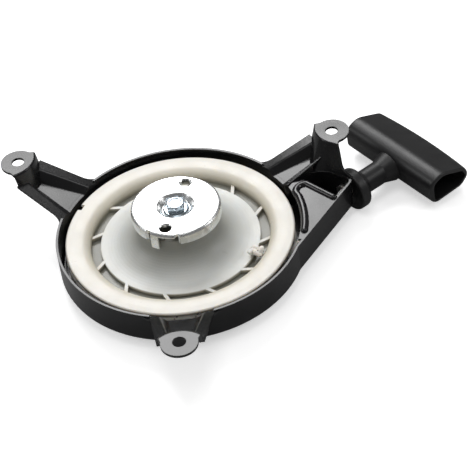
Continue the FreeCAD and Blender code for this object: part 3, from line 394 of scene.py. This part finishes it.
def braid(name, pts, r, body, step=0.42, ring=28, strands=8, pitch=13.0, closed=False, mat=None, plain_tube=False,
          taper=0.0, phase=0.0):
    """Tube along pts (mm) whose skin is a woven braid, in metres in the mesh."""
    c, s, total = resample(pts, step, closed)
    n = len(c)
    if closed:
        t = np.roll(c, -1, 0) - np.roll(c, 1, 0)
    else:
        t = np.gradient(c, axis=0)
    t /= np.linalg.norm(t, axis=1)[:, None]
    ref = np.array([0, 0, 1.0])
    if abs(t[0] @ ref) > 0.9:
        ref = np.array([1.0, 0, 0])
    u = np.zeros_like(c)
    v0 = np.cross(t[0], ref)
    v0 /= np.linalg.norm(v0)
    u[0] = v0
    for i in range(1, n):
        x = u[i - 1] - t[i] * (u[i - 1] @ t[i])
        u[i] = x / np.linalg.norm(x)
    w = np.cross(t, u)
    turns = max(1, round(total / pitch)) if closed else total / pitch
    th = np.linspace(0, 2 * math.pi, ring, endpoint=False)
    TH, S = np.meshgrid(th, s / total * turns * 2 * math.pi)
    K = strands / 2.0
    a = (K * (TH + S + phase)) / math.pi
    b = (K * (TH - S + phase)) / math.pi
    ia, ib = np.floor(a), np.floor(b)
    fa, fb = a - ia, b - ib
    top = ((ia + ib) % 2) == 0
    ha = np.sin(math.pi * fa) ** 0.6 * (0.72 + 0.28 * np.sin(math.pi * fb))
    hb = np.sin(math.pi * fb) ** 0.6 * (0.72 + 0.28 * np.sin(math.pi * fa))
    h = np.where(top, ha, hb)
    tr = np.where(top & ((ia % strands) == 1), 1.0, 0.0) * (h > 0.3)
    if plain_tube:
        h = np.ones_like(h)
        tr = np.zeros_like(h)
    rad = r * (0.86 + 0.14 * h)
    if taper > 0 and not closed:
        e = np.minimum(s, total - s) / taper
        rad *= np.clip(np.sqrt(np.clip(e, 0, 1)), 0.12, 1)[:, None]
    P = c[:, None, :] + rad[:, :, None] * (np.cos(TH)[:, :, None] * u[:, None, :] + np.sin(TH)[:, :, None] * w[:, None, :])
    verts = (P.reshape(-1, 3) * MM)
    i, j = np.meshgrid(np.arange(n if closed else n - 1), np.arange(ring), indexing="ij")
    i2, j2 = (i + 1) % n, (j + 1) % ring
    faces = np.stack([i * ring + j, i2 * ring + j, i2 * ring + j2, i * ring + j2], -1).reshape(-1, 4)
    faces = faces[:, ::-1].tolist()
    if not closed:
        faces.append(list(range(ring)))
        faces.append(list(range((n - 1) * ring, n * ring))[::-1])
    me = bpy.data.meshes.new(name)
    me.from_pydata(verts.tolist(), [], faces)
    for key, arr in (("braid", h), ("tracer", tr)):
        at = me.attributes.new(key, "FLOAT", "POINT")
        at.data.foreach_set("value", arr.reshape(-1).astype(np.float32))
    me.polygons.foreach_set("use_smooth", [True] * len(me.polygons))
    import bmesh
    bm = bmesh.new()
    bm.from_mesh(me)
    bmesh.ops.recalc_face_normals(bm, faces=bm.faces)
    bm.to_mesh(me)
    bm.free()
    me.materials.append(mat or M_ROPE)
    o = bpy.data.objects.new(name, me)
    scene.collection.objects.link(o)
    if body:
        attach(o, body)
    return o


def smooth_path(pts, per=10, closed=False):
    """Catmull-Rom through the points."""
    p = [Vector(q) for q in pts]
    n = len(p)
    out = []
    rng = range(n) if closed else range(n - 1)
    for i in rng:
        p0 = p[(i - 1) % n] if closed or i > 0 else p[0]
        p1, p2 = p[i], p[(i + 1) % n]
        p3 = p[(i + 2) % n] if closed or i + 2 < n else p[-1]
        for k in range(per):
            t = k / per
            out.append(0.5 * ((2 * p1) + (p2 - p0) * t + (2 * p0 - 5 * p1 + 4 * p2 - p3) * t * t +
                              (3 * p1 - p0 - 3 * p2 + p3) * t * t * t))
    if not closed:
        out.append(p[-1])
    return out


# wound turns in the groove
for k, (r, z) in enumerate(((62.4, -27.0), (62.4, -31.0), (66.2, -27.0), (66.2, -31.0))):
    pts = [pol(r + 0.06 * math.sin(5 * t * math.pi / 90), 2 * t, z) for t in range(180)]
    braid(f"rope_turn_{k + 1}", pts, 1.84, "pulley_unit", step=0.55, ring=20, closed=True, phase=k * 0.7)

# last turn and run to the outlet
# (the turn lies slack: it bulges outwards and up under the flange on its way round)
run = []
for i in range(59):
    f = math.sin(math.pi * i / 59.0) ** 0.5
    run.append(pol(70.0 + 3.6 * f, 56.0 - 90.0 - 236.0 + 4.0 * i, -29.0 + 1.6 * f))
p_tan = pol(70.0, 56.0 - 90.0, -29.0)
run_end = out_pt(92.5, 70.3, -32.0)
run += [p_tan] + [p_tan + (run_end - p_tan) * (0.5 - 0.5 * math.cos(math.pi * f)) for f in
                  (0.15, 0.3, 0.45, 0.6, 0.75, 0.88, 1.0)]
run_o = braid("rope_last_turn", smooth_path(run, 3), 1.8, "frame", step=0.36, ring=30, taper=0.0)


def trefoil(centre, ax, ay, az, size, lead_in=None, lead_out=None):
    """An overhand knot about centre in the plane of ax and ay."""
    k = []
    n = 60
    for i in range(n + 1):
        t = 2 * math.pi * (0.03 + 0.94 * i / n)
        x = math.sin(t) + 2 * math.sin(2 * t)
        y = math.cos(t) - 2 * math.cos(2 * t)
        z = -math.sin(3 * t)
        k.append(centre + ax * (x * size) + ay * (y * size) + az * (z * size * 1.15))
    return (lead_in or []) + k + (lead_out or [])


# the rope's inner end: through the ring's wall, knotted in the window
KA = -24.0
rad_dir = pol(1, KA)
tan_dir = pol(1, KA + 90)
kc = pol(54.3, KA - 1.0, -23.9)
kn = trefoil(kc, tan_dir, rad_dir, UP, 1.22)
lead = [pol(62.6, KA, -26.6), pol(60.0, KA, -26.6), pol(57.6, KA, -26.3)]
path = smooth_path(lead + [kn[0]], 6)[:-1] + kn
tail = [kn[-1], kn[-1] + pol(1, KA - 150) * 2.2 + UP * 0.5, kn[-1] + pol(1, KA - 128) * 4.6 - UP * 0.2]
path += smooth_path(tail, 6)[1:]
knot_a = braid("rope_pulley_knot", path, 1.52, "pulley_unit", step=0.3, ring=26, taper=0.5)

# the rope's outer end: in the handle's stem, knotted behind the washer
KAT = 51.0 - 16.4 + 3.1 + 1.3
hc = hp(KAT + 3.9, 0, 0)
kn2 = trefoil(hc, G, UP, H, 1.02)
stem_path = [hp(0.5, 0, 0), hp(10, 0, 0), hp(20, 0, 0), hp(KAT - 2, 0, 0), hp(KAT + 0.9, 0, 0)]
path2 = smooth_path(stem_path + [kn2[0]], 8)[:-1] + kn2
path2 += [kn2[-1] + H * 1.0, kn2[-1] + H * 2.4]
knot_b = braid("rope_handle_knot", path2, 1.5, "handle", step=0.4, ring=22, taper=0.5)

# rope between the outlet and the handle, which draws out with the pull
a0, a1 = out_pt(88.0, 70.3, -31.9), hp(6.0, 0, 0)
mid0, mid1 = out_pt(92.6, 70.5, -32.1), hp(1.5, 0, 0)
link_pts = smooth_path([a0, out_pt(90.5, 70.3, -32.0), mid0, mid1, hp(3.0, 0, 0), a1], 12)
link = braid("rope_drawn", link_pts, 1.74, None, step=0.22, ring=24, mat=M_DRAWN, plain_tube=True)
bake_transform(link)

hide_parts("rope_wound")
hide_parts("rope_run")
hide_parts("rope_handle_end")

# ------------------------------------------------------------------ floor, light, camera
lo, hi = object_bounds()
fz = min(lo[2], cad_box[0][2]) - 0.0004
me = bpy.data.meshes.new("floor")
me.from_pydata([(-6, -6, fz), (6, -6, fz), (6, 6, fz), (-6, 6, fz)], [], [(0, 1, 2, 3)])
floor = bpy.data.objects.new("floor", me)
scene.collection.objects.link(floor)
fm = Mat("pale_floor")
pale = fm.ramp(fm.noise(3.0, 2.0), [(0.0, (0.93, 0.93, 0.93)), (1.0, (0.95, 0.95, 0.95))])
flr = fm.n("ShaderNodeLightPath")
fm.color(fm.mix(flr.outputs["Is Glossy Ray"], pale, (0.30, 0.30, 0.30)))
fm.set(Roughness=0.9, Specular_IOR_Level=0.1, Emission_Strength=1.0)
fm.link(fm.mix(flr.outputs["Is Camera Ray"], (0, 0, 0), (0.48, 0.48, 0.48)), fm.b.inputs["Emission Color"])
me.materials.append(fm.m)


def area(name, loc, target, size, power, color=(1, 1, 1), size_y=None):
    l = bpy.data.lights.new(name, "AREA")
    l.shape = "RECTANGLE"
    l.size = size
    l.size_y = size_y or size
    l.energy = power
    l.color = color
    o = bpy.data.objects.new(name, l)
    o.location = loc
    o.rotation_euler = (Vector(target) - Vector(loc)).to_track_quat("-Z", "Y").to_euler()
    scene.collection.objects.link(o)
    return o


area("key", (-0.15, 1.05, 1.10), (0, 0, 0), 0.85, 13.0, size_y=0.62)
area("left", (-1.3, 0.0, 0.9), (0, 0, 0), 0.55, 3.6)
area("right", (1.25, 0.0, 0.85), (0, 0, 0), 0.4, 3.0)
area("top", (0.0, -0.1, 1.7), (0, 0, 0), 0.8, 5.0)

world = bpy.data.worlds.new("studio")
scene.world = world
world.use_nodes = True
wt = world.node_tree
bg = wt.nodes["Background"]
bg.inputs[0].default_value = (1, 1, 1, 1)
# the walls of the studio are pale where they light the object and flagged dark where it mirrors them
lp = wt.nodes.new("ShaderNodeLightPath")
mr = wt.nodes.new("ShaderNodeMapRange")
mr.inputs[3].default_value = 0.40
mr.inputs[4].default_value = 0.16
wt.links.new(lp.outputs["Is Glossy Ray"], mr.inputs[0])
seen = wt.nodes.new("ShaderNodeMath")
seen.operation = "MAXIMUM"
wt.links.new(mr.outputs[0], seen.inputs[0])
wt.links.new(lp.outputs["Is Camera Ray"], seen.inputs[1])
wt.links.new(seen.outputs[0], bg.inputs[1])

scene.view_settings.view_transform = "Standard"
scene.view_settings.look = "None"
scene.view_settings.exposure = 0.0

cam = bpy.data.cameras.new("camera")
cam.lens = 149.5
cam.sensor_width = 36.0
cam.clip_start = 0.05
cam.clip_end = 30.0
co = bpy.data.objects.new("camera", cam)
scene.collection.objects.link(co)
fwd = Vector((-0.0370, 0.7371, -0.6748)).normalized()
right = Vector((0.9945, -0.0392, -0.0972))
right = (right - fwd * right.dot(fwd)).normalized()
up = right.cross(fwd)
rot = Matrix((right, up, -fwd)).transposed()
co.matrix_world = Matrix.Translation(Vector((0.0823, -0.9358, 0.8273))) @ rot.to_4x4()
scene.camera = co
